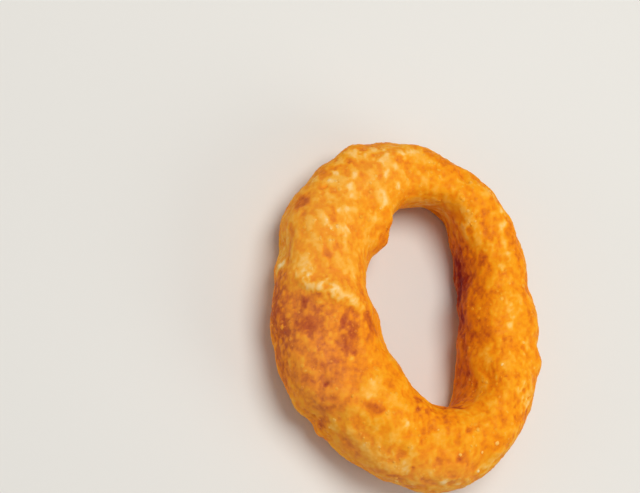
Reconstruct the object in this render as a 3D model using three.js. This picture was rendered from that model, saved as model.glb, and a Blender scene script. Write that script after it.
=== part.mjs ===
// A battered onion ring, fried crisp: one thick slice in its crust, lying flat on its plainer side.
//
// Millimetres, +Z up. The origin is on the plane that the ring rests on, under the middle of its box,
// and +Y runs along the ring's longer width. The crust is one solid: a closed loop of rounded
// sections, swollen and dented all over, with a few lumps, dents and ridges of its own.
import * as THREE from "three";
import { ImprovedNoise } from "three/addons/math/ImprovedNoise.js";

// The ring's sizes, as sections spaced evenly round it, the first one on the +X side: how far the
// hole's wall and the rim are from the middle of the hole, and how tall the crust is there.
const SECTIONS = [
  { hole: 12.2, rim: 28.5, tall: 19.0 }, // right limb
  { hole: 15.0, rim: 29.6, tall: 18.5 },
  { hole: 20.0, rim: 34.7, tall: 17.5 },
  { hole: 25.0, rim: 36.0, tall: 17.0 }, // the hole's far corner, where the limb is thinnest
  { hole: 23.0, rim: 38.5, tall: 17.0 }, // far end
  { hole: 16.5, rim: 37.5, tall: 18.0 },
  { hole: 14.5, rim: 36.0, tall: 19.0 },
  { hole: 12.5, rim: 32.4, tall: 20.0 },
  { hole: 10.0, rim: 33.0, tall: 20.5 }, // left limb, the thickest
  { hole: 10.0, rim: 34.8, tall: 20.5 },
  { hole: 12.5, rim: 35.2, tall: 20.5 },
  { hole: 16.0, rim: 38.0, tall: 20.5 },
  { hole: 22.0, rim: 40.2, tall: 20.5 }, // near end
  { hole: 22.0, rim: 38.0, tall: 20.5 }, // the hole's near corner
  { hole: 15.0, rim: 34.0, tall: 20.0 },
  { hole: 12.5, rim: 31.0, tall: 19.5 },
];
const SQUARENESS = 2.3; // power of each section's oval: 2 is an ellipse, more is boxier
const REST_FLAT = 0.5; // how much of the underside is flattened where it lay in the fryer

// The crust's unevenness, coarse to fine: the size of its lumps, and how far they rise and sink.
const SWELLS = [
  { span: 13, rise: 1.1, drift: 3.7 },
  { span: 6.5, rise: 0.7, drift: 17.3 },
  { span: 3.9, rise: 0.42, drift: 41.9 },
];

// Forms that stand on their own. Each one follows a line on the crust, given by its two ends, as
// degrees round the ring from +X and degrees round the section from the rim over the top. It reaches
// this far to each side and rises (or, below zero, sinks) this much at its middle.
const FORMS = [
  { from: [158, 345], to: [163, 20], reach: 3.4, rise: 0.8 }, // thick seam of batter over the left limb
  { from: [165, 40], to: [170, 88], reach: 2.4, rise: 0.8 },
  { from: [170, 88], to: [178, 128], reach: 2.0, rise: 0.7 },
  { from: [147, 338], to: [149, 2], reach: 3.0, rise: -0.9 }, // hollow in the rim above the seam
  { from: [181, 55], to: [206, 95], reach: 6.0, rise: -0.7 }, // thin, browned crust beside the seam
  { from: [103, 8], to: [105, 20], reach: 3.2, rise: 1.4 }, // blunt corners of the far end
  { from: [78, 10], to: [80, 34], reach: 3.0, rise: 0.8 },
  { from: [224, 338], to: [224, 348], reach: 1.7, rise: 1.6 }, // drip hanging off the lower left rim
  { from: [220, 352], to: [219, 8], reach: 1.6, rise: -0.7 }, // notch beside the drip, and a bulge
  { from: [213, 338], to: [212, 356], reach: 2.8, rise: 0.9 },
  { from: [337, 20], to: [336, 60], reach: 2.1, rise: -1.0 }, // nick in the right rim
  { from: [331, 5], to: [331, 45], reach: 2.6, rise: 0.9 }, // bump beside the nick
  { from: [62, 66], to: [65, 88], reach: 1.5, rise: -0.9 }, // crease near the hole's far corner
  { from: [34, 60], to: [30, 95], reach: 3.4, rise: 0.7 }, // low lumps on the right limb
  { from: [312, 95], to: [318, 112], reach: 3.6, rise: 0.7 },
  { from: [250, 60], to: [262, 84], reach: 4.2, rise: -0.6 }, // shallow hollow on the near end
  { from: [107, 138], to: [112, 158], reach: 2.7, rise: 1.7 }, // shoulders that square off the hole
  { from: [190, 160], to: [197, 178], reach: 2.8, rise: 0.6 },
  { from: [62, 186], to: [60, 214], reach: 3.6, rise: -1.7 }, // the hole's far corner is cut deeper
];

// How finely the crust is faced: steps round the ring, and steps round each section.
const STEPS_ALONG = 128;
const STEPS_AROUND = 36;

const CRUST = new THREE.MeshStandardMaterial({ color: 0xe89b3b, roughness: 0.72, metalness: 0 });

const FULL_TURN = 2 * Math.PI;
const noise = new ImprovedNoise();

// A closed curve through the sections' sizes, with (hole, rim, tall) in place of (x, y, z).
const sizes = new THREE.CatmullRomCurve3(
  SECTIONS.map(({ hole, rim, tall }) => new THREE.Vector3(hole, rim, tall)),
  true,
  "catmullrom",
  0.5,
);

// The sine or cosine of an oval of the given squareness.
function oval(value) {
  return Math.sign(value) * Math.abs(value) ** (2 / SQUARENESS);
}

// A point of the smooth ring: turn goes round the ring and round goes round the section, in radians.
function smoothPoint(turn, round) {
  const { x: hole, y: rim, z: tall } = sizes.getPoint(THREE.MathUtils.euclideanModulo(turn / FULL_TURN, 1));
  const radius = (rim + hole) / 2 + ((rim - hole) / 2) * oval(Math.cos(round));
  const height = (tall / 2) * (1 + oval(Math.sin(round)));
  return new THREE.Vector3(radius * Math.cos(turn), radius * Math.sin(turn), height);
}

// The way out of the smooth ring at a point.
function outward(turn, round) {
  const step = 0.02;
  const along = smoothPoint(turn + step, round).sub(smoothPoint(turn - step, round));
  const around = smoothPoint(turn, round + step).sub(smoothPoint(turn, round - step));
  return along.cross(around).normalize();
}

// How much the crust's swells raise it at a point.
function swell(point) {
  return SWELLS.reduce((sum, { span, rise, drift }) => {
    const at = point.clone().divideScalar(span).addScalar(drift);
    return sum + rise * noise.noise(at.x, at.y, at.z);
  }, 0);
}

const lines = FORMS.map(({ from, to, reach, rise }) => {
  const ends = [from, to].map(([turn, round]) =>
    smoothPoint(THREE.MathUtils.degToRad(turn), THREE.MathUtils.degToRad(round)),
  );
  return { line: new THREE.Line3(...ends), reach, rise };
});

// How much the forms raise the crust at a point.
function relief(point) {
  const nearest = new THREE.Vector3();
  return lines.reduce((sum, { line, reach, rise }) => {
    line.closestPointToPoint(point, true, nearest);
    return sum + rise * Math.exp(-((nearest.distanceTo(point) / reach) ** 2));
  }, 0);
}

// A point of the finished crust, with its underside cut flat.
function crustPoint(turn, round) {
  const point = smoothPoint(turn, round);
  point.addScaledVector(outward(turn, round), swell(point) + relief(point));
  point.z = Math.max(point.z - REST_FLAT, 0);
  return point;
}

function crustGeometry() {
  const points = [];
  const faces = [];
  for (let i = 0; i < STEPS_ALONG; i++) {
    for (let j = 0; j < STEPS_AROUND; j++) {
      points.push(crustPoint((i / STEPS_ALONG) * FULL_TURN, (j / STEPS_AROUND) * FULL_TURN));
      const nextI = (i + 1) % STEPS_ALONG;
      const nextJ = (j + 1) % STEPS_AROUND;
      const corners = [
        i * STEPS_AROUND + j,
        nextI * STEPS_AROUND + j,
        nextI * STEPS_AROUND + nextJ,
        i * STEPS_AROUND + nextJ,
      ];
      // Neighbouring squares are split along opposite diagonals, so that no slant runs round the ring.
      const [a, b, c, d] = (i + j) % 2 ? corners : [...corners.slice(1), corners[0]];
      faces.push(a, b, c, a, c, d);
    }
  }
  const geometry = new THREE.BufferGeometry().setFromPoints(points).setIndex(faces);
  geometry.computeBoundingBox();
  const middle = geometry.boundingBox.getCenter(new THREE.Vector3());
  geometry.translate(-middle.x, -middle.y, 0);
  geometry.computeVertexNormals();
  return geometry;
}

const ring = new THREE.Mesh(crustGeometry(), CRUST);
ring.name = "onion_ring";

const part = new THREE.Group();
part.add(ring);

export default part;
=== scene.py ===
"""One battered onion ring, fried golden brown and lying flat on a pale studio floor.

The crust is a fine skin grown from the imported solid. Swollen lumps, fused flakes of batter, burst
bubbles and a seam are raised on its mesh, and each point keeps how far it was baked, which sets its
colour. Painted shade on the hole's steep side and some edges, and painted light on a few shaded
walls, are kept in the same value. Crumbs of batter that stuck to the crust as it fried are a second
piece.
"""

import logging
import math
from dataclasses import dataclass
from enum import Enum

import bmesh
import bpy
import numpy as np
from mathutils import Matrix, Vector, kdtree, noise
from mathutils.bvhtree import BVHTree


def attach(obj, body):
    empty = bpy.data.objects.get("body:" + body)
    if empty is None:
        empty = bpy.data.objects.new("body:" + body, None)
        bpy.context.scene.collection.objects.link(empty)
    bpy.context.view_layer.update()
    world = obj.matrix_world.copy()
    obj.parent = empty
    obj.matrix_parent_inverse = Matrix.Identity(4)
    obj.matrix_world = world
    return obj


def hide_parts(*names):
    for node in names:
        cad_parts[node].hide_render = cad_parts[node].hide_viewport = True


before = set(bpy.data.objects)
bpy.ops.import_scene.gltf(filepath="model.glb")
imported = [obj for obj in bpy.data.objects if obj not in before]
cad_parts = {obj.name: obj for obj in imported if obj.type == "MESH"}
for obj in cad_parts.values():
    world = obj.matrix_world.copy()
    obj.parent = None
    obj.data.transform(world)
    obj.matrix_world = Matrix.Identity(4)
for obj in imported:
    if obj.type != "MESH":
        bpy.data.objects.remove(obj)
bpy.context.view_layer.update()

LOG = logging.getLogger("onion_ring")

MM = 0.001
BODY = "root"
NODE = "onion_ring"
PATTERN_SEED = 2  # fixes Blender's noises, which otherwise differ from run to run
SAME_POINT = 1e-6  # corners closer than this are one corner, in metres

Colour = tuple[float, float, float]
Place = tuple[float, float, float]
Pixel = tuple[float, float]
Span = tuple[float, float]
Points = np.ndarray  # places on the crust, one row each, in millimetres
Socket = bpy.types.NodeSocket


def linear(red: int, green: int, blue: int) -> Colour:
    """Turn a screen's colour, from 0 to 255, into the linear values that shaders read."""
    shares = (value / 255 for value in (red, green, blue))
    # The curve of the sRGB standard, with its straight foot.
    return tuple(s / 12.92 if s <= 0.04045 else ((s + 0.055) / 1.055) ** 2.4 for s in shares)


def smooth_step(low: float, high: float, value: np.ndarray) -> np.ndarray:
    """Rise smoothly from 0 at low to 1 at high."""
    share = np.clip((value - low) / (high - low), 0.0, 1.0)
    return share * share * (3.0 - 2.0 * share)


def distance_to_line(points: np.ndarray, start: np.ndarray, end: np.ndarray) -> np.ndarray:
    """Measure how far points are from a straight line.

    Args:
        points: The points, one row each.
        start: Where the line begins.
        end: Where it ends, which may be where it begins.

    Returns:
        Each point's distance.
    """
    along = end - start
    share = np.clip((points - start) @ along / (along @ along or 1.0), 0.0, 1.0)
    return np.linalg.norm(points - start - share[:, None] * along, axis=1)


def keep(mesh: bpy.types.Mesh, name: str, values: np.ndarray) -> None:
    """Keep a value from 0 to 1 on each point of a mesh, for its material to read."""
    layer = mesh.attributes.new(name, "FLOAT", "POINT")
    layer.data.foreach_set("value", np.clip(values, 0.0, 1.0).astype(np.float32))


def add(name: str, data: bpy.types.ID) -> bpy.types.Object:
    """Add an object to the scene.

    Args:
        name: Its name.
        data: Its mesh, light or camera.

    Returns:
        The object, at the origin.
    """
    made = bpy.data.objects.new(name, data)
    bpy.context.scene.collection.objects.link(made)
    return made


def packed_solid() -> BVHTree:
    """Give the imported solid's faces, to find places on it."""
    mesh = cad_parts[NODE].data
    return BVHTree.FromPolygons([v.co for v in mesh.vertices], [f.vertices for f in mesh.polygons])


# ---- patterns

BEND_FINENESS = 1.7  # how much finer the bending is than the pattern that it bends
LOT_SPREAD = 7.3  # how far apart the lots of neighbouring cells are drawn


@dataclass(frozen=True)
class Pattern:
    """A random unevenness of the batter.

    Attributes:
        size: The size of its blotches, in millimetres.
        drift: Where in the endless pattern the ring lies.
        bend: How far its blotches are pulled out of shape, in their own sizes.
        stretch: How many times longer its blotches are along the ring's long way.
    """

    size: float
    drift: float = 0.0
    bend: float = 0.0
    stretch: float = 1.0

    def _scaled(self, points: Points) -> list[Vector]:
        """Find where places on the crust lie in the pattern.

        Args:
            points: Places on the crust.

        Returns:
            The places in the pattern, in sizes of its blotches.
        """
        blotch = self.size * np.array((1.0, self.stretch, 1.0))
        scaled = [Vector(p) for p in points / blotch + self.drift]
        if self.bend:
            scaled = [s + self.bend * noise.noise_vector(BEND_FINENESS * s) for s in scaled]
        return scaled

    def waves(self, points: Points) -> np.ndarray:
        """Give smooth waves, mostly from -0.5 to 0.5, at each point."""
        return np.array([noise.noise(s) for s in self._scaled(points)])

    def ways(self, points: Points) -> np.ndarray:
        """Give a smoothly changing direction, at most about 1 long, at each point."""
        return np.array([noise.noise_vector(s) for s in self._scaled(points)])

    def cells(self, points: Points) -> tuple[np.ndarray, np.ndarray]:
        """Split the batter into rounded cells.

        Args:
            points: Places on the crust.

        Returns:
            How far each point is from its cell's middle, in cell sizes, and its cell's lot, which is
            from 0 to 1.
        """
        nearest = [noise.voronoi(s) for s in self._scaled(points)]
        away = np.array([distances[0] for distances, _ in nearest])
        lots = np.array([0.5 + 0.5 * noise.cell(LOT_SPREAD * middles[0]) for _, middles in nearest])
        return away, lots


@dataclass(frozen=True)
class Texture:
    """How uneven the batter is at each point of the crust, from 0 to 1 but where it says otherwise.

    Attributes:
        stretch: Slow changes from stretch to stretch, from -0.5 to 0.5.
        patch: Changes from patch to patch, from -0.5 to 0.5.
        lump: Swollen lumps, and below 0 the low ground between them.
        waves: The waves that flakes and gaps are cut from.
        flake: Fused flakes.
        gap: Gaps between the flakes.
        freckle: Small, browner blotches.
        crumb: Fused crumbs.
        grain: The finest unevenness, from -0.5 to 0.5.
        bubble: Burst bubbles.
    """

    stretch: np.ndarray
    patch: np.ndarray
    lump: np.ndarray
    waves: np.ndarray
    flake: np.ndarray
    gap: np.ndarray
    freckle: np.ndarray
    crumb: np.ndarray
    grain: np.ndarray
    bubble: np.ndarray


@dataclass(frozen=True)
class Batter:
    """The batter's patterns, coarse to fine, and how its forms are cut from them.

    Attributes:
        stretches: The pattern of its slowest changes.
        patches: The pattern of its patches.
        lumps: The pattern of swollen lumps.
        lump_reach: How far a lump reaches from its middle, in cell sizes.
        flakes: The patterns of flakes, and the share of each.
        flake_span: The waves' values where a flake begins, and is complete.
        gap_span: The same for a gap, below zero.
        freckles: The pattern of freckles.
        freckle_span: Its values where a freckle begins, and is complete.
        crumbs: The pattern of fused crumbs.
        crumb_fall: How steeply a fused crumb falls off from its middle.
        crumb_least: How strong the slightest crumb is.
        grain: The finest pattern.
        bubbles: The pattern of burst bubbles.
        bubble_lot: The lot above which a cell has a bubble.
        bubble_size: How large a bubble is, in cell sizes.
    """

    stretches: Pattern = Pattern(14.0, drift=3.0)
    patches: Pattern = Pattern(5.5, drift=8.0)
    lumps: Pattern = Pattern(4.4)
    lump_reach: float = 0.55
    flakes: tuple[tuple[Pattern, float], ...] = (
        (Pattern(2.1, drift=5.2, bend=0.3, stretch=1.4), 1.0),
        (Pattern(1.1, drift=2.4, bend=0.3, stretch=1.3), 0.6),
        (Pattern(0.65, drift=7.1), 0.4),
    )
    flake_span: Span = (-0.28, 0.62)
    gap_span: Span = (0.0, 0.66)
    freckles: Pattern = Pattern(3.4, drift=31.7, bend=0.3)
    freckle_span: Span = (0.16, 0.42)
    crumbs: Pattern = Pattern(1.2, bend=0.4)
    crumb_fall: float = 1.35
    crumb_least: float = 0.25
    grain: Pattern = Pattern(0.8)
    bubbles: Pattern = Pattern(2.8, drift=9.1)
    bubble_lot: float = 0.991
    bubble_size: float = 0.17

    def texture(self, points: Points) -> Texture:
        """Work out how uneven the batter is.

        Args:
            points: Places on the crust.

        Returns:
            The unevenness at each point.
        """
        waves = sum(share * pattern.waves(points) for pattern, share in self.flakes)
        crumb_away, crumb_lot = self.crumbs.cells(points)
        strength = self.crumb_least + (1.0 - self.crumb_least) * crumb_lot
        bubble_away, bubble_lot = self.bubbles.cells(points)
        hollow = np.exp(-((bubble_away / self.bubble_size) ** 2))
        return Texture(
            stretch=self.stretches.waves(points),
            patch=self.patches.waves(points),
            lump=self.lump_reach - self.lumps.cells(points)[0],
            waves=waves,
            flake=smooth_step(*self.flake_span, waves),
            gap=smooth_step(*self.gap_span, -waves),
            freckle=smooth_step(*self.freckle_span, self.freckles.waves(points)),
            crumb=np.maximum(0.0, 1.0 - self.crumb_fall * crumb_away) * strength,
            grain=self.grain.waves(points),
            bubble=(bubble_lot > self.bubble_lot) * hollow,
        )


# ---- view


@dataclass(frozen=True)
class Viewpoint:
    """Where the camera stands and how it frames the ring.

    Attributes:
        aim: The point that the camera's distance and direction are measured from, in metres.
        tilt: How far the view leans away from straight down, in degrees.
        bearing: Which way it leans, in degrees in the picture, from its right side.
        roll: How far the ring's long way leans left in the picture, in degrees.
        distance: How far the camera is from the aim, in metres.
        lens: Its focal length, in millimetres.
        sensor: Its sensor's width, in millimetres.
        clip: The nearest and the farthest distance that it sees, in metres.
        frame_size: The picture's width and height in pixels.
        aim_pixel: Where the aim falls in the picture.
    """

    aim: Place = (2.2 * MM, 1.0 * MM, 10.6 * MM)
    tilt: float = 26.7
    bearing: float = 27.4
    roll: float = 8.9
    distance: float = 0.42
    lens: float = 106.3
    sensor: float = 36.0
    clip: Span = (0.01, 10.0)
    frame_size: tuple[int, int] = (640, 493)
    aim_pixel: Pixel = (415.1, 309.0)

    def axes(self) -> Matrix:
        """Give the camera's right, up and back directions in the part's frame.

        Returns:
            A rotation matrix whose columns are those directions, before the aim is moved off centre.
        """
        tilt, bearing, roll = (math.radians(a) for a in (self.tilt, self.bearing, self.roll))
        # How the picture sees the part's up and its long way; the rest follows.
        lean = math.sin(tilt)
        up = Vector((lean * math.cos(bearing), lean * math.sin(bearing), math.cos(tilt)))
        length = Vector((-math.sin(roll), math.cos(roll), 0.0))
        length.z = -(length.x * up.x + length.y * up.y) / up.z
        long_way = length.normalized()
        short_way = long_way.cross(up)
        return Matrix((short_way, long_way, up))

    def _way_to(self, pixel: Pixel) -> Vector:
        """Find the direction in which a pixel is seen.

        Args:
            pixel: The pixel, across and down the picture.

        Returns:
            The direction, as right, up and back of the camera.
        """
        width, height = self.frame_size
        lens_pixels = self.lens / self.sensor * width
        right = (pixel[0] - width / 2) / lens_pixels
        up = (height / 2 - pixel[1]) / lens_pixels
        return Vector((right, up, -1.0)).normalized()

    def pose(self) -> Matrix:
        """Give the camera's place and turn in the part's frame.

        Returns:
            The matrix that carries the camera's own axes to the part's frame.
        """
        axes = self.axes()
        ahead = Vector((0.0, 0.0, -1.0))
        turn = ahead.rotation_difference(self._way_to(self.aim_pixel)).inverted()
        place = Vector(self.aim) + axes @ Vector((0.0, 0.0, self.distance))
        return Matrix.Translation(place) @ (axes @ turn.to_matrix()).to_4x4()

    def seen(self, solid: BVHTree, pixel: Pixel) -> np.ndarray:
        """Find the place on a solid that shows at a pixel.

        Args:
            solid: The solid's faces.
            pixel: The pixel, across and down the picture.

        Returns:
            The place in millimetres, in the part's frame.

        Raises:
            ValueError: If the solid doesn't show there.
        """
        pose = self.pose()
        place = solid.ray_cast(pose.translation, pose.to_3x3() @ self._way_to(pixel))[0]
        if place is None:
            raise ValueError(f"the ring doesn't show at pixel {pixel}")
        return np.array(place) / MM

    def place_camera(self) -> None:
        """Make the camera and make it the scene's."""
        data = bpy.data.cameras.new("camera")
        data.lens, data.sensor_width = self.lens, self.sensor
        data.clip_start, data.clip_end = self.clip
        camera = add("camera", data)
        camera.matrix_world = self.pose()
        bpy.context.scene.camera = camera


# ---- marks


class Bake(Enum):
    """What a mark on the crust is: how the fryer left that spot. A few marks are painted shade or
    painted light.
    """

    TOAST = "toast"  # a broad stretch that is fried darker; near some edges it is partly painted shade
    BROWN = "brown"  # thin batter, browned further; near some edges it is partly painted shade
    FLAKY = "flaky"  # a broad stretch where pale flakes stand out
    CREAM = "cream"  # thick batter, still pale; a few marks use it as painted light on shaded walls and edges
    PIT = "pit"  # a burst bubble
    SEAM = "seam"  # a raised, pale line of batter
    FLOURY = "floury"  # a broad stretch that stayed dry and dull
    HOLE_SHADE = "deep"  # painted shade: the hole's steep side, darkened where shadow falls deep in the hole


Marked = dict[Bake, np.ndarray]  # how strong each kind of mark is at each point of the crust

# The kinds that change slowly over a broad stretch. The others have a firmer edge.
SOFT_EDGED = frozenset((Bake.TOAST, Bake.FLAKY, Bake.FLOURY, Bake.HOLE_SHADE))
SOFT, FIRM = 2, 3  # the powers with which soft and firm edges fall off


@dataclass(frozen=True)
class Mark:
    """One named spot or streak on the crust.

    Attributes:
        bake: What the fryer did there, or the shade or light that is painted there.
        along: The pixels where the camera sees it: one for a round spot, more for a streak.
        reach: How far it spreads to each side, in millimetres.
        strength: How strong it is. Full strength is 1, and a few marks are a little stronger.
    """

    bake: Bake
    along: tuple[Pixel, ...]
    reach: float
    strength: float

    def weight(self, points: Points, view: Viewpoint, solid: BVHTree) -> np.ndarray:
        """Give the mark's strength at each point.

        Args:
            points: Places on the crust.
            view: The camera's place.
            solid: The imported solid, which the mark lies on.

        Returns:
            The strength at each point, which falls off smoothly round the mark's line.
        """
        places = [view.seen(solid, pixel) for pixel in self.along]
        lines = zip(places, places[1:] or places)
        away = np.min([distance_to_line(points, start, end) for start, end in lines], axis=0)
        firmness = SOFT if self.bake in SOFT_EDGED else FIRM
        return self.strength * np.exp(-((away / self.reach) ** firmness))


def spots(bake: Bake, reach: float, strength: float, *places: Pixel) -> tuple[Mark, ...]:
    """Make several round marks that are alike but for their places."""
    return tuple(Mark(bake, (place,), reach, strength) for place in places)


RIM_LINE = ((532, 374), (530, 400), (521, 425), (510, 444), (496, 461), (470, 480))

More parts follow.
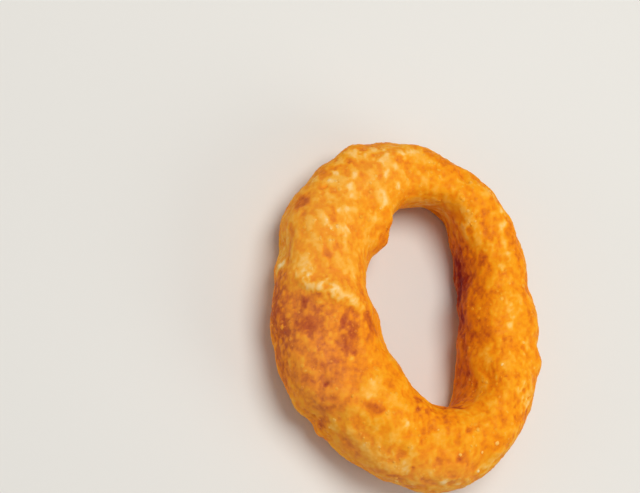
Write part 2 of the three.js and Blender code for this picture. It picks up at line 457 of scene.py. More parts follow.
MARKS = (
    # The pale seam over the left limb, its thick outer end, and the pale batter just above it.
    Mark(Bake.SEAM, ((303, 279), (317, 287), (342, 295), (359, 306)), 1.5, 1.0),
    Mark(Bake.CREAM, ((302, 275), (313, 280)), 1.6, 1.0),
    Mark(Bake.CREAM, ((309, 286), (324, 283)), 1.5, 0.9),
    Mark(Bake.CREAM, ((331, 288), (338, 291)), 1.1, 1.0),
    Mark(Bake.CREAM, ((341, 297), (353, 302)), 1.3, 1.0),
    Mark(Bake.CREAM, ((290, 268), (322, 272)), 2.6, 0.25),
    Mark(Bake.CREAM, ((285, 236), (283, 252), (281, 266)), 2.0, 0.35),
    *spots(Bake.CREAM, 2.0, 1.2, (281, 266)),
    *spots(Bake.CREAM, 1.8, 0.5, (293, 275), (352, 276)),
    # The browner crust below the seam and down the lower left, down to its outer edge, where the
    # darker bake is partly painted shadow.
    Mark(Bake.TOAST, ((278, 296), (282, 320), (286, 340)), 6.0, 1.0),
    Mark(Bake.TOAST, ((296, 303), (322, 314), (352, 330)), 5.0, 0.85),
    Mark(Bake.TOAST, ((314, 336), (346, 352)), 6.0, 0.78),
    Mark(Bake.TOAST, ((296, 366), (314, 396)), 6.5, 0.45),
    # The outer left edge, darker: partly browning, partly painted shadow.
    Mark(Bake.BROWN, ((275, 284), (279, 286)), 1.1, 0.35),
    Mark(Bake.BROWN, ((274, 300), (276, 330)), 2.4, 0.4),
    Mark(Bake.BROWN, ((280, 362), (287, 386)), 2.2, 0.6),
    # Browned spots there, each where the batter is thin, and a few pale flecks between them.
    *spots(Bake.BROWN, 1.9, 1.1, (307, 325)),
    *spots(Bake.BROWN, 1.3, 0.8, (300, 326), (314, 325)),
    Mark(Bake.BROWN, ((305, 299), (305, 307)), 0.9, 1.0),
    Mark(Bake.BROWN, ((344, 322), (353, 324)), 1.2, 0.5),
    Mark(Bake.BROWN, ((349, 332), (349, 343), (353, 353)), 1.2, 0.35),
    Mark(Bake.BROWN, ((323, 407), (331, 409)), 1.2, 0.65),
    Mark(Bake.BROWN, ((373, 408), (381, 408)), 1.2, 0.8),
    Mark(Bake.BROWN, ((321, 424), (325, 420)), 1.2, 0.8),
    Mark(Bake.BROWN, ((342, 438), (348, 448)), 1.2, 0.4),
    *spots(Bake.BROWN, 1.4, 0.5, (280, 331)),
    *spots(Bake.BROWN, 0.7, 0.5, (326, 384)),
    *spots(Bake.BROWN, 1.2, 0.45, (318, 295), (321, 366)),
    *spots(Bake.BROWN, 1.2, 0.40, (292, 373), (350, 400), (335, 398), (366, 367), (318, 309)),
    *spots(Bake.BROWN, 1.0, 0.30, (324, 330), (308, 377), (357, 328), (337, 360)),
    *spots(Bake.CREAM, 1.0, 0.55, (318, 353), (349, 359), (374, 384), (370, 397), (331, 427)),
    Mark(Bake.CREAM, ((353, 427), (364, 430)), 1.0, 0.5),
    # The hole's right side, with painted shade that darkens it deeper in the hole, and painted light
    # on its shaded upper right wall.
    Mark(Bake.HOLE_SHADE, ((453, 246), (456, 262)), 4.5, 0.2),
    Mark(Bake.HOLE_SHADE, ((457, 270), (459, 290)), 8.0, 0.88),
    Mark(Bake.HOLE_SHADE, ((460, 297), (461, 322)), 7.5, 0.55),
    Mark(Bake.HOLE_SHADE, ((462, 330), (460, 350), (460, 386)), 5.0, 0.3),
    Mark(Bake.BROWN, ((464, 366), (466, 370)), 1.5, 0.4),
    # Painted light: paler crust on the hole's upper right wall, which lies in shade.
    Mark(Bake.CREAM, ((420, 203), (442, 213), (455, 228)), 2.5, 0.35),
    Mark(Bake.CREAM, ((466, 226), (478, 242)), 3.6, 0.3),
    # The darker crust along the hole's left side and round its near corner: partly browning, partly
    # painted shade at the hole's edge.
    Mark(Bake.BROWN, ((385, 233), (383, 244)), 2.2, 0.6),
    Mark(Bake.BROWN, ((368, 318), (375, 331)), 1.5, 0.8),
    Mark(Bake.TOAST, ((366, 322), (376, 352), (392, 372)), 2.4, 0.4),
    Mark(Bake.TOAST, ((424, 411), (446, 412), (458, 405)), 3.5, 0.75),
    *spots(Bake.BROWN, 1.3, 0.7, (457, 408), (418, 399)),
    # The right limb, a little darker than the rest, with its pale streak and flecks.
    Mark(Bake.TOAST, ((505, 250), (505, 390)), 9.0, 0.35),
    Mark(Bake.CREAM, ((501, 209), (505, 221), (502, 229)), 0.8, 0.7),
    Mark(Bake.CREAM, ((505, 244), (507, 258), (498, 272)), 0.9, 0.5),
    Mark(Bake.CREAM, ((510, 301), (513, 315)), 0.8, 0.6),
    Mark(Bake.CREAM, ((523, 343), (526, 350)), 0.6, 0.7),
    Mark(Bake.CREAM, ((491, 374), (501, 381)), 1.8, 0.4),
    *spots(Bake.CREAM, 0.8, 0.6, (503, 229), (501, 241), (493, 289), (528, 296)),
    *spots(Bake.CREAM, 0.8, 0.6, (510, 325), (493, 195)),
    *spots(Bake.CREAM, 1.0, 0.5, (455, 192), (468, 195), (529, 334), (487, 425), (480, 232)),
    *spots(Bake.BROWN, 1.3, 0.40, (517, 343), (486, 442), (478, 461)),
    Mark(Bake.BROWN, ((494, 333), (512, 339)), 1.8, 0.4),
    Mark(Bake.BROWN, ((512, 236), (518, 256)), 1.4, 0.35),
    # The paler right rim, and its thin lower edge: partly pale batter, partly painted light where the
    # rim catches the light.
    Mark(Bake.CREAM, ((522, 388), (526, 402)), 2.0, 0.95),
    Mark(Bake.CREAM, RIM_LINE, 1.8, 0.4),
    # Pale flakes over the far end and the upper left.
    *spots(Bake.CREAM, 1.0, 0.90, (336, 173), (386, 174), (378, 160)),
    *spots(Bake.CREAM, 0.9, 0.60, (330, 182), (323, 192), (353, 197)),
    *spots(Bake.CREAM, 0.9, 0.60, (354, 152), (397, 186), (396, 167)),
    *spots(Bake.CREAM, 0.8, 0.50, (363, 192), (412, 181), (380, 232)),
    *spots(Bake.CREAM, 0.8, 0.50, (326, 238), (360, 154), (431, 170)),
    Mark(Bake.CREAM, ((346, 159), (384, 152)), 2.2, 0.5),
    Mark(Bake.CREAM, ((316, 178), (322, 174)), 1.6, 0.8),
    Mark(Bake.CREAM, ((352, 176), (350, 187)), 0.9, 0.65),
    Mark(Bake.CREAM, ((402, 155), (411, 150)), 1.2, 0.6),
    Mark(Bake.CREAM, ((382, 190), (385, 206)), 0.9, 0.6),
    Mark(Bake.CREAM, ((372, 210), (374, 218)), 1.2, 0.55),
    Mark(Bake.CREAM, ((337, 211), (346, 209)), 0.9, 0.55),
    Mark(Bake.CREAM, ((327, 214), (329, 227)), 0.9, 0.6),
    Mark(Bake.CREAM, ((340, 229), (357, 223)), 1.0, 0.6),
    Mark(Bake.CREAM, ((342, 234), (345, 246)), 0.9, 0.5),
    # Browned gaps between them.
    Mark(Bake.BROWN, ((333, 209), (333, 219)), 1.0, 0.8),
    Mark(Bake.BROWN, ((298, 205), (300, 200), (306, 202)), 1.5, 1.0),
    Mark(Bake.BROWN, ((440, 159), (456, 168)), 1.4, 0.45),
    *spots(Bake.BROWN, 1.2, 0.50, (361, 201), (363, 177), (349, 163), (379, 227), (302, 226)),
    *spots(Bake.BROWN, 0.9, 0.30, (370, 155), (345, 201), (395, 160), (326, 254)),
    # The near end: dark specks and pale patches.
    Mark(Bake.TOAST, ((396, 436), (470, 436)), 9.0, 0.15),
    Mark(Bake.BROWN, ((388, 476), (400, 474)), 0.7, 0.6),
    *spots(Bake.BROWN, 0.7, 0.8, (469, 431), (459, 460), (418, 409), (412, 468)),
    *spots(Bake.BROWN, 0.8, 0.45, (427, 478), (457, 478), (449, 421)),
    *spots(Bake.CREAM, 1.1, 0.65, (390, 456), (386, 470), (407, 425), (428, 473)),
    Mark(Bake.CREAM, ((404, 466), (408, 474)), 1.3, 0.6),
    Mark(Bake.CREAM, ((378, 466), (412, 478)), 2.2, 0.3),
    Mark(Bake.CREAM, ((398, 481), (412, 484)), 0.9, 0.5),
    # Painted light: a pale streak on the near end's lower edge, which lies in shade.
    Mark(Bake.CREAM, ((438, 482), (456, 483)), 1.6, 1.0),
    Mark(Bake.CREAM, ((366, 446), (380, 452)), 1.3, 0.4),
    # Dry, dull crust: the left limb, the upper left, and the lower edge of the near end.
    Mark(Bake.FLOURY, ((310, 210), (308, 290)), 13.0, 0.6),
    Mark(Bake.FLOURY, ((306, 305), (322, 398)), 9.0, 0.8),
    Mark(Bake.FLOURY, ((318, 205), (380, 163)), 7.0, 0.5),
    Mark(Bake.FLOURY, ((352, 446), (398, 476), (450, 484)), 5.5, 0.9),
    # Where flakes stand out most: the upper left, the far end, the near end and the right limb.
    Mark(Bake.FLAKY, ((318, 252), (350, 190), (376, 170)), 8.0, 1.0),
    Mark(Bake.FLAKY, ((385, 168), (430, 166)), 7.0, 0.7),
    Mark(Bake.FLAKY, ((380, 430), (466, 458)), 6.0, 0.4),
    Mark(Bake.FLAKY, ((486, 230), (506, 290), (506, 390)), 7.0, 0.7),
    # Burst bubbles, and a short crease near the hole's far corner.
    Mark(Bake.PIT, ((326, 384),), 0.7, 1.0),
    Mark(Bake.PIT, ((288, 259),), 0.45, 0.9),
    Mark(Bake.PIT, ((324, 187), (327, 187)), 0.45, 0.9),
    Mark(Bake.PIT, ((461, 173), (467, 181)), 0.5, 0.9),
)

# Where the largest and palest crumbs are seen, and the radius of each in millimetres.
PALE_CRUMBS = (
    ((498, 443), 0.75),
    ((461, 455), 0.50),
    ((478, 472), 0.60),
    ((470, 379), 0.50),
    ((482, 452), 0.45),
    ((438, 430), 0.40),
    ((502, 364), 0.50),
    ((281, 266), 0.60),
)


# ---- finishes


@dataclass(frozen=True)
class Speckle:
    """A fine noise in a finish.

    Attributes:
        size: The size of its blotches, in metres.
        detail: How much finer detail its blotches have.
    """

    size: float
    detail: float


class NodeBench:
    """A bench where one material's nodes are made and joined.

    Attributes:
        material: The material.
        shader: Its main shader.
    """

    def __init__(self, name: str) -> None:
        """Start a material.

        Args:
            name: The material's name.
        """
        self.material = bpy.data.materials.new(name)
        self.material.use_nodes = True
        self.shader = self.material.node_tree.nodes["Principled BSDF"]
        self._place = self.make("ShaderNodeTexCoord").outputs["Object"]

    def make(self, kind: str) -> bpy.types.Node:
        """Make a node of this kind."""
        return self.material.node_tree.nodes.new(kind)

    def join(self, source: Socket, target: Socket) -> None:
        """Join one node's output to another's input."""
        self.material.node_tree.links.new(source, target)

    def speckled(self, speckle: Speckle) -> Socket:
        """Make a noise that lies still on the piece.

        Args:
            speckle: The noise's size and detail.

        Returns:
            The noise, round 0.5.
        """
        made = self.make("ShaderNodeTexNoise")
        made.inputs["Scale"].default_value = 1.0 / speckle.size
        made.inputs["Detail"].default_value = speckle.detail
        self.join(self._place, made.inputs["Vector"])
        return made.outputs["Fac"]

    def kept(self, name: str) -> Socket:
        """Read a value that each point of the mesh keeps.

        Args:
            name: The value's name.

        Returns:
            The value.
        """
        reader = self.make("ShaderNodeAttribute")
        reader.attribute_name = name
        return reader.outputs["Fac"]

    def shifted(self, value: Socket, by: Socket, much: float) -> Socket:
        """Shift a value up and down by a noise, round where it was.

        Args:
            value: The value.
            by: The noise, round 0.5.
            much: How far the noise shifts it for a change from 0 to 1.

        Returns:
            The shifted value.
        """
        centred = self.make("ShaderNodeMath")
        centred.operation = "SUBTRACT"
        centred.inputs[1].default_value = 0.5
        self.join(by, centred.inputs[0])
        added = self.make("ShaderNodeMath")
        added.operation = "MULTIPLY_ADD"
        added.inputs[1].default_value = much
        self.join(centred.outputs[0], added.inputs[0])
        self.join(value, added.inputs[2])
        return added.outputs[0]


@dataclass(frozen=True)
class FriedBatter:
    """The look of fried batter, from pale to deep red-brown.

    Attributes:
        name: The material's name.
        shades: How far a spot is baked, from 0 to 1, and its colour there.
        flour: The colour of batter that stayed dry.
        flour_cover: How far that colour covers the driest batter, from 0 to 1.
        mottles: The finest mottling, and how far it shifts the baking.
        roughness: The lowest and the highest roughness.
        oil: The pattern of more and less oily spots.
        oil_span: The pattern's values that give the lowest and the highest roughness.
        shine: How much the oil shines.
        bump: The finest unevenness of the surface.
        bump_height: How far it rises, in metres.
        glow: How much of the light passes into the batter.
        glow_depth: How deep it passes, in metres.
        glow_tint: How deep red, green and blue pass for that depth.
    """

    name: str = "fried_batter"
    shades: tuple[tuple[float, Colour], ...] = (
        (0.00, linear(254, 222, 160)),
        (0.14, linear(252, 203, 122)),
        (0.30, linear(249, 181, 66)),
        (0.45, linear(245, 161, 22)),
        (0.60, linear(239, 138, 10)),
        (0.72, linear(216, 113, 18)),
        (0.84, linear(182, 78, 26)),
        # The two darkest shades are reached mostly on the hole's steep side, as painted shade.
        (0.93, linear(150, 38, 11)),
        (1.00, linear(126, 8, 2)),
    )
    flour: Colour = linear(204, 160, 124)
    flour_cover: float = 0.16
    mottles: tuple[tuple[Speckle, float], ...] = (
        (Speckle(0.9 * MM, detail=2.0), 0.12),
        (Speckle(0.45 * MM, detail=2.0), 0.07),
    )
    roughness: Span = (0.45, 0.75)
    oil: Speckle = Speckle(1.1 * MM, detail=1.0)
    oil_span: Span = (0.35, 0.65)
    shine: float = 0.08
    bump: Speckle = Speckle(0.5 * MM, detail=3.0)
    bump_height: float = 0.05 * MM
    glow: float = 0.08
    glow_depth: float = 0.8 * MM
    glow_tint: Colour = (1.0, 0.5, 0.15)

    def material(self) -> bpy.types.Material:
        """Build the material.

        Returns:
            A node material that reads the mesh's own "bake" and "flour" and Object coordinates.
        """
        bench = NodeBench(self.name)
        self._colour(bench)
        self._roughen(bench)
        inputs = bench.shader.inputs
        inputs["Specular IOR Level"].default_value = self.shine
        inputs["Subsurface Weight"].default_value = self.glow
        inputs["Subsurface Radius"].default_value = self.glow_tint
        inputs["Subsurface Scale"].default_value = self.glow_depth
        return bench.material

    def _colour(self, bench: NodeBench) -> None:
        """Colour each spot by how far it is baked, and dust it where it is dry.

        Args:
            bench: Where the nodes are made.
        """
        bake = bench.kept("bake")
        for speckle, much in self.mottles:
            bake = bench.shifted(bake, bench.speckled(speckle), much)
        ramp = bench.make("ShaderNodeValToRGB")
        stops = ramp.color_ramp.elements
        for at, colour in self.shades[1:-1]:
            stops.new(at).color = (*colour, 1.0)
        stops[0].color = (*self.shades[0][1], 1.0)
        stops[-1].color = (*self.shades[-1][1], 1.0)
        bench.join(bake, ramp.inputs["Fac"])

        cover = bench.make("ShaderNodeMath")
        cover.operation = "MULTIPLY"
        cover.inputs[1].default_value = self.flour_cover
        bench.join(bench.kept("flour"), cover.inputs[0])
        dusted = bench.make("ShaderNodeMixRGB")
        dusted.inputs["Color2"].default_value = (*self.flour, 1.0)
        bench.join(cover.outputs[0], dusted.inputs["Fac"])
        bench.join(ramp.outputs["Color"], dusted.inputs["Color1"])
        bench.join(dusted.outputs["Color"], bench.shader.inputs["Base Color"])

    def _roughen(self, bench: NodeBench) -> None:
        """Make the surface more and less oily, and finely uneven.

        Args:
            bench: Where the nodes are made.
        """
        rough = bench.make("ShaderNodeMapRange")
        rough.inputs["From Min"].default_value, rough.inputs["From Max"].default_value = self.oil_span
        rough.inputs["To Min"].default_value, rough.inputs["To Max"].default_value = self.roughness
        bench.join(bench.speckled(self.oil), rough.inputs["Value"])
        bench.join(rough.outputs["Result"], bench.shader.inputs["Roughness"])

        bump = bench.make("ShaderNodeBump")
        bump.inputs["Strength"].default_value = 1.0
        bump.inputs["Distance"].default_value = self.bump_height
        bench.join(bench.speckled(self.bump), bump.inputs["Height"])
        bench.join(bump.outputs["Normal"], bench.shader.inputs["Normal"])


# ---- crust


@dataclass(frozen=True)
class Relief:
    """How far the crust's surface rises and sinks, all in millimetres.

    Attributes:
        lump: How far a swollen lump of batter rises.
        flake: How far a fused flake rises, and a gap between flakes sinks.
        crumb: How far a fused crumb rises.
        grain: How far the finest unevenness rises.
        pit: How deep a burst bubble is.
        seam: How far a seam stands up.
    """

    lump: float = 0.24
    flake: float = 0.10
    crumb: float = 0.11
    grain: float = 0.06
    pit: float = 0.55
    seam: float = 0.45

    def rise(self, texture: Texture, marked: Marked) -> np.ndarray:
        """Work out how far the surface rises.

        Args:
            texture: How uneven the batter is at each point.
            marked: How strong each kind of mark is there.

        Returns:
            How far each point rises, in millimetres.
        """
        return (
            self.lump * texture.lump
            + self.flake * (texture.flake - texture.gap)
            + self.crumb * texture.crumb
            + self.grain * texture.grain
            + self.seam * marked[Bake.SEAM]
            - self.pit * np.maximum(texture.bubble, marked[Bake.PIT])
        )


@dataclass(frozen=True)
class Baking:
    """How far the crust is baked, on a scale from 0 to 1, and how much each thing shifts that. A few
    shifts are painted shade or painted light.

    Attributes:
        plain: How far plain crust is baked.
        stretch: The shift from stretch to stretch.
        patch: The shift from patch to patch.
        flake: How much paler a flake is.
        gap: How much browner a gap is.
        crumb: How much paler a fused crumb is.
        grain: The shift by the grain.
        freckle: How much browner a freckle is.
        flaky: How much paler a flaky stretch is.
        flaky_flake: How much paler still its flakes are.
        toast: How much browner a toasted stretch is.
        toast_crumb: How much more its crumbs stand out.
        toast_grain: How much more its grain stands out.
        brown: How much browner thin batter is.
        cream: How much paler thick batter is.
        cream_span: The waves' values where thick batter begins to pale, and is palest.
        seam_cream: How pale a seam is, as a share of thick batter.
        pit: How much browner a burst bubble is.
        deep: How much darker the hole's steep side is, as painted shade.
        brown_calm: How far flakes and gaps fade where the batter is thin.
        toast_calm: How far they fade on a toasted stretch.
        hole_shade_calm: How far they fade on the hole's steep side.
        slow: How far the crust is baked where further browning slows down.
        slow_rest: How much further it can brown from there.
        wet_brown: How much less dry the driest crust is where the batter is thin.
    """

    plain: float = 0.545
    stretch: float = 0.05
    patch: float = 0.06
    flake: float = 0.14
    gap: float = 0.08
    crumb: float = 0.05
    grain: float = 0.06
    freckle: float = 0.07
    flaky: float = 0.05
    flaky_flake: float = 0.06
    toast: float = 0.26
    toast_crumb: float = 0.36
    toast_grain: float = 0.06
    brown: float = 0.27
    cream: float = 0.34
    cream_span: Span = (-0.50, 0.35)
    seam_cream: float = 0.45
    pit: float = 0.14
    deep: float = 0.46
    brown_calm: float = 0.6
    toast_calm: float = 0.2
    hole_shade_calm: float = 0.35
    slow: float = 0.68
    slow_rest: float = 0.20
    wet_brown: float = 0.4

    def bake(self, texture: Texture, marked: Marked) -> np.ndarray:
        """Work out how far the crust is baked.

        Args:
            texture: How uneven the batter is at each point.
            marked: How strong each kind of mark is there.

        Returns:
            How far each point is baked, painted shade and light included. The darkest may pass 1.
        """
        flaky, toast, brown = marked[Bake.FLAKY], marked[Bake.TOAST], marked[Bake.BROWN]
        pale = np.maximum(self.seam_cream * marked[Bake.SEAM], marked[Bake.CREAM])
        calm = np.maximum(self.toast_calm * toast, self.hole_shade_calm * marked[Bake.HOLE_SHADE])
        mottle = 1.0 - self.brown_calm * np.minimum(brown, 1.0) - calm
        bake = (
            self.plain
            - self.flaky * flaky
            + self.stretch * texture.stretch
            + self.patch * texture.patch
            - (self.flake + self.flaky_flake * flaky) * mottle * texture.flake
            + self.gap * mottle * texture.gap
            - (self.crumb + self.toast_crumb * toast) * texture.crumb
            + (self.grain + self.toast_grain * toast) * texture.grain
            + self.freckle * texture.freckle
            + self.toast * toast
            + self.brown * brown
            - self.cream * pale * smooth_step(*self.cream_span, texture.waves)
        )
        over = np.maximum(bake - self.slow, 0.0)
        slowed = np.minimum(bake, self.slow) + self.slow_rest * np.tanh(over / self.slow_rest)
        pits = np.maximum(texture.bubble, marked[Bake.PIT])
        # The hole's steep side gets its painted shade here.
        return slowed + (self.pit * pits + self.deep * marked[Bake.HOLE_SHADE])

    def flour(self, marked: Marked) -> np.ndarray:
        """Give how dry each point stayed, from 0 to 1."""
        return marked[Bake.FLOURY] * (1.0 - self.wet_brown * np.minimum(marked[Bake.BROWN], 1.0))


@dataclass
class Crust:
    """The ring's whole crust, as one skin.

    Attributes:
        view: The camera's place, which its marks are placed from.
        voxel: The spacing of the skin's faces, in metres. It keeps them under 200,000 triangles.
        smoothing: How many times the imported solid's faces are rounded first.
        ragged: How far the marks' edges wander, in millimetres.
        raggedness: The pattern in which they wander.
        footing: The heights above the floor where the relief begins and is full, in millimetres.
        batter: The batter's patterns.
        relief: How the surface rises and sinks.
        baking: How far it is baked.
        finish: How it looks.
    """

    view: Viewpoint
    voxel: float = 0.385 * MM
    smoothing: int = 2
    ragged: float = 0.7
    raggedness: Pattern = Pattern(1.6, drift=4.4)
    footing: Span = (0.2, 2.0)
    batter: Batter = Batter()
    relief: Relief = Relief()
    baking: Baking = Baking()
    finish: FriedBatter = FriedBatter()

    def build(self) -> bpy.types.Object:
        """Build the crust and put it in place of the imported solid.

        Returns:
            The finished piece.
        """
        skin = self._even_skin()
        self._fry(skin)
        piece = add("crust", skin)
        skin.materials.append(self.finish.material())
        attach(piece, BODY)
        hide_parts(NODE)
        return piece

    def _joined_solid(self) -> bpy.types.Mesh:
        """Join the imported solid's loose triangles into four-sided faces.

        Returns:
            A new mesh, with the solid's own corners.
        """
        shape = bmesh.new()
        shape.from_mesh(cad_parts[NODE].data)
        bmesh.ops.remove_doubles(shape, verts=shape.verts, dist=SAME_POINT)
        bmesh.ops.join_triangles(
            shape, faces=shape.faces, angle_face_threshold=math.pi, angle_shape_threshold=math.pi
        )
        joined = bpy.data.meshes.new("crust_rough")
        shape.to_mesh(joined)
        shape.free()
        return joined

    def _even_skin(self) -> bpy.types.Mesh:
        """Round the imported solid's facets and give it small, even faces.

        Returns:
            A new mesh in the part's frame.
        """
        rough = self._joined_solid()
        stand = add("crust_rough", rough)
        rounding = stand.modifiers.new("round", "SUBSURF")
        rounding.levels = rounding.render_levels = self.smoothing
        remesh = stand.modifiers.new("even", "REMESH")
        remesh.mode = "VOXEL"
        remesh.voxel_size = self.voxel
        remesh.use_smooth_shade = True
        graph = bpy.context.evaluated_depsgraph_get()
        skin = bpy.data.meshes.new_from_object(stand.evaluated_get(graph))
        skin.name = "crust"
        skin.materials.clear()
        bpy.data.objects.remove(stand)
        bpy.data.meshes.remove(rough)
        return skin

    def _marked(self, points: Points) -> Marked:
        """Lay all the marks on the crust, with ragged edges.

        Args:
            points: Places on the crust.

        Returns:
            How strong each kind of mark is at each point.
        """
        solid = packed_solid()
        wandering = points + self.ragged * self.raggedness.ways(points)
        marked = {bake: np.zeros(len(points)) for bake in Bake}
        for mark in MARKS:
            weight = mark.weight(wandering, self.view, solid)
            marked[mark.bake] = np.maximum(marked[mark.bake], weight)
        return marked

    def _fry(self, skin: bpy.types.Mesh) -> None:
        """Raise the relief on the skin and keep how each point was baked, painted shade and light
        included.

        Args:
            skin: The crust's mesh, which is changed.
        """
        places = np.empty(len(skin.vertices) * 3, np.float32)
        skin.vertices.foreach_get("co", places)
        points = places.reshape(-1, 3).astype(float) / MM
        ways = np.array([v.normal for v in skin.vertices])
        texture = self.batter.texture(points)
        marked = self._marked(points)

        rise = self.relief.rise(texture, marked) * smooth_step(*self.footing, points[:, 2])
        raised = points + ways * rise[:, None]
        raised[:, 2] = np.maximum(raised[:, 2], 0.0)
        skin.vertices.foreach_set("co", (raised * MM).astype(np.float32).ravel())
        keep(skin, "bake", self.baking.bake(texture, marked))
        keep(skin, "flour", self.baking.flour(marked))
        skin.update()


# ---- crumbs


@dataclass
class Crumbs:
    """Small granules of batter that stuck to the crust as it fried.

    Attributes:
        view: The camera's place, which the named crumbs are placed from.
        tries: How many places on the crust are tried for a crumb.
        clusters: The pattern of where crumbs gather.
        crowding: The pattern's values where crumbs begin, and where every try gives one.
        radius: The lowest and the highest radius, in millimetres.
        smallness: How much commoner small crumbs are. At 1, all sizes are equally common.
        narrowness: The lowest and the highest width of a crumb, for its length.
        flatness: The lowest and the highest height of a crumb, for its length.
        unevenness: How near to its middle a crumb's corners are, and how far, for its radius.
        sunk: How far its middle lies under the crust, as a share of its height.
        shapes: How many different shapes there are.
        lowest: How high above the floor the lowest crumb is, in millimetres.
        fading: The least and the most by which a crumb is baked less than the crust under it.
        paler: By how much the named crumbs are baked less than the crust under them.
        seed: The seed of every random draw.
        finish: How they look.
    """

    view: Viewpoint
    tries: int = 3600
    clusters: Pattern = Pattern(5.0, drift=23.0)
    crowding: Span = (-0.35, 0.45)
    radius: Span = (0.22, 0.62)
    smallness: float = 1.6
    narrowness: Span = (0.6, 1.0)
    flatness: Span = (0.22, 0.45)
    unevenness: Span = (0.72, 1.12)
    sunk: float = 0.45
    shapes: int = 9
    lowest: float = 1.6
    fading: Span = (0.0, 0.12)
    paler: float = 0.35
    seed: int = 17
    finish: FriedBatter = FriedBatter(
        name="fried_crumbs",
        mottles=((Speckle(0.5 * MM, detail=2.0), 0.14),),
        roughness=(0.40, 0.60),
        shine=0.2,
        bump=Speckle(0.3 * MM, detail=3.0),
        bump_height=0.04 * MM,
    )

    def build(self, crust: bpy.types.Object) -> bpy.types.Object:
        """Scatter the crumbs over the crust.

        Args:
            crust: The finished crust, which they sit on.

        Returns:
            All the crumbs, as one piece.
        """
        rng = np.random.default_rng(self.seed)
        skin = crust.data
        shapes = [self._granule(rng) for _ in range(self.shapes)]
        corners, faces, bakes, flours = [], [], [], []
        for spot, radius, paler in self._seats(skin, rng):
            shape, loops = shapes[rng.integers(self.shapes)]
            faces.append(loops + len(corners) * len(shape))
            corners.append(self._set_down(shape, skin.vertices[spot], radius * MM, rng))
            # Each crumb takes the crust's bake under it, painted shade and light included.
            bakes.append(np.full(len(shape), skin.attributes["bake"].data[spot].value - paler))
            flours.append(np.full(len(shape), skin.attributes["flour"].data[spot].value))
        mesh = bpy.data.meshes.new("crumbs")
        mesh.from_pydata(np.concatenate(corners).tolist(), [], np.concatenate(faces).tolist())
        mesh.shade_smooth()
        keep(mesh, "bake", np.concatenate(bakes))
        keep(mesh, "flour", np.concatenate(flours))
        piece = add("crumbs", mesh)
        mesh.materials.append(self.finish.material())
        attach(piece, BODY)
        return piece

    def _seats(
        self, skin: bpy.types.Mesh, rng: np.random.Generator
    ) -> list[tuple[int, float, float]]:
        """Choose where the crumbs are: in clusters, mostly small ones, and then the named ones.

        Args:
            skin: The crust's mesh.
            rng: The random draws.

        Returns:
            For each crumb the crust's point that holds it, its radius in millimetres, and how much
            less it is baked than that point.
        """
        tried = rng.choice(len(skin.vertices), self.tries, replace=False)
        places = np.array([skin.vertices[number].co for number in tried]) / MM
        chance = smooth_step(*self.crowding, self.clusters.waves(places))
        taken = tried[(places[:, 2] > self.lowest) & (rng.random(self.tries) < chance)]
        low, high = self.radius
        radii = low + (high - low) * rng.random(len(taken)) ** self.smallness
        seats = list(zip(taken, radii, rng.uniform(*self.fading, len(taken))))
        tree = kdtree.KDTree(len(skin.vertices))
        for vertex in skin.vertices:
            tree.insert(vertex.co, vertex.index)
        tree.balance()
        solid = packed_solid()
        for pixel, radius in PALE_CRUMBS:
            place = Vector(self.view.seen(solid, pixel)) * MM
            seats.append((tree.find(place)[1], radius, self.paler))
        return seats

    def _set_down(
        self, shape: np.ndarray, spot: bpy.types.MeshVertex, radius: float, rng: np.random.Generator
    ) -> np.ndarray:
        """Turn and flatten a crumb and set it on the crust.

        Args:
            shape: The crumb's corners, at radius 1.
            spot: The crust's point that holds it.
            radius: Its radius, in metres.
            rng: The random draws.

        Returns:
            Its corners in the part's frame.
        """
        tall = radius * rng.uniform(*self.flatness)
        stretch = Matrix.Diagonal((radius, radius * rng.uniform(*self.narrowness), tall))
        turn = spot.normal.to_track_quat("Z", "Y").to_matrix()
        spin = Matrix.Rotation(rng.uniform(0.0, math.tau), 3, "Z")
        middle = spot.co - spot.normal * (self.sunk * tall)
        return shape @ np.array(turn @ spin @ stretch).T + np.array(middle)

    def _granule(self, rng: np.random.Generator) -> tuple[np.ndarray, np.ndarray]:
        """Make one crumb's shape: an uneven round lump of radius 1.

        Args:
            rng: The random draws.

        Returns:
            Its corners, and each face's four corner numbers.
        """
        shape = bmesh.new()
        bmesh.ops.create_cube(shape, size=1.0)
        bmesh.ops.subdivide_edges(shape, edges=shape.edges, cuts=1, use_grid_fill=True)
        for corner in shape.verts:
            corner.co = corner.co.normalized() * rng.uniform(*self.unevenness)
        shape.verts.ensure_lookup_table()
        corners = np.array([corner.co for corner in shape.verts])
        faces = np.array([[corner.index for corner in face.verts] for face in shape.faces])
        shape.free()
        return corners, faces


# ---- studio


@dataclass(frozen=True)
class Lamp:
    """One soft panel of light, placed by how it stands to the camera.

    Attributes:
        name: The lamp's name.
        way: The direction it stands in, as right, up and back in the picture.
        distance: How far from the ring, in metres.
        size: The panel's width, in metres.
        power: Its power, in watts.
        colour: Its colour.
    """

    name: str
    way: Place
    distance: float
    size: float
    power: float
    colour: Colour


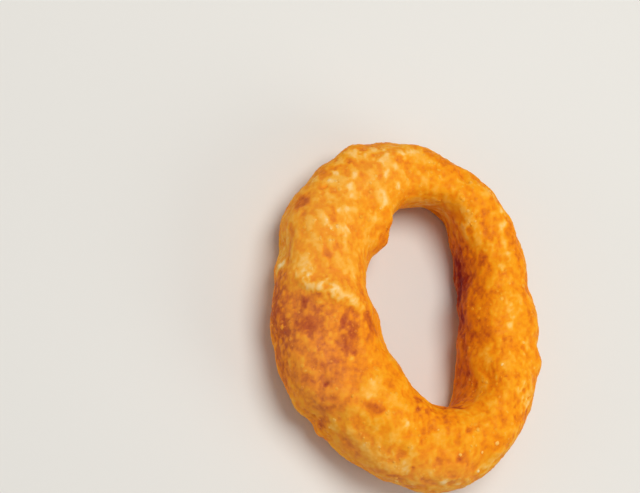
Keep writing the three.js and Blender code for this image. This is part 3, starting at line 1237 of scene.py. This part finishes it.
@dataclass
class Studio:
    """The pale floor, the soft lights and the camera.

    Attributes:
        view: The camera's place.
        floor_size: The floor's width, in metres.
        floor_drop: How far the floor lies under the ring, in metres.
        floor_colour: The floor's colour.
        floor_roughness: How dull it is, from 0 to 1.
        sky: The brightness of the light from all round.
        sky_colour: That light's colour.
        lamps: The panels of light.
    """

    view: Viewpoint
    floor_size: float = 4.0
    floor_drop: float = 0.02 * MM
    floor_colour: Colour = linear(226, 225, 222)
    floor_roughness: float = 0.9
    sky: float = 0.30
    sky_colour: Colour = (1.0, 1.0, 1.0)
    lamps: tuple[Lamp, ...] = (
        Lamp("key", (0.45, 0.38, 0.80), 0.70, 0.45, 3.6, linear(255, 252, 246)),
        Lamp("fill", (-0.85, -0.1, 0.50), 0.80, 0.60, 1.35, linear(255, 252, 248)),
        Lamp("rim", (1.0, -0.45, 0.20), 0.70, 0.40, 1.1, linear(255, 252, 246)),
    )

    def build(self) -> None:
        """Make the camera, the floor, the sky and the lamps."""
        self.view.place_camera()
        self._lay_floor()
        self._light()
        bpy.context.scene.view_settings.view_transform = "Standard"

    def _lay_floor(self) -> None:
        """Lay the floor just under the ring."""
        shape = bmesh.new()
        bmesh.ops.create_grid(shape, x_segments=1, y_segments=1, size=self.floor_size / 2)
        bmesh.ops.translate(shape, verts=shape.verts, vec=(0.0, 0.0, -self.floor_drop))
        mesh = bpy.data.meshes.new("floor")
        shape.to_mesh(mesh)
        shape.free()
        floor = add("floor", mesh)
        paint = bpy.data.materials.new("studio_floor")
        paint.use_nodes = True
        shader = paint.node_tree.nodes["Principled BSDF"]
        shader.inputs["Base Color"].default_value = (*self.floor_colour, 1.0)
        shader.inputs["Roughness"].default_value = self.floor_roughness
        mesh.materials.append(paint)

    def _light(self) -> None:
        """Set the sky and hang the lamps round the ring, as the camera sees them."""
        world = bpy.data.worlds.new("sky")
        bpy.context.scene.world = world
        world.use_nodes = True
        background = world.node_tree.nodes["Background"]
        background.inputs["Color"].default_value = (*self.sky_colour, 1.0)
        background.inputs["Strength"].default_value = self.sky
        axes, aim = self.view.axes(), Vector(self.view.aim)
        for lamp in self.lamps:
            data = bpy.data.lights.new(lamp.name, "AREA")
            data.shape = "DISK"
            data.size = lamp.size
            data.energy = lamp.power
            data.color = lamp.colour
            way = (axes @ Vector(lamp.way)).normalized()
            turn = way.to_track_quat("Z", "Y").to_matrix().to_4x4()
            add(lamp.name, data).matrix_world = Matrix.Translation(aim + way * lamp.distance) @ turn


def main() -> None:
    """Build the studio and the ring, and report each piece."""
    logging.basicConfig(level=logging.INFO, format="%(name)s: %(message)s")
    noise.seed_set(PATTERN_SEED)
    view = Viewpoint()
    Studio(view).build()
    crust = Crust(view).build()
    crumbs = Crumbs(view).build(crust)
    for piece in (crust, crumbs):
        LOG.info("%s: %d faces", piece.name, len(piece.data.polygons))


if __name__ == "__main__":
    main()
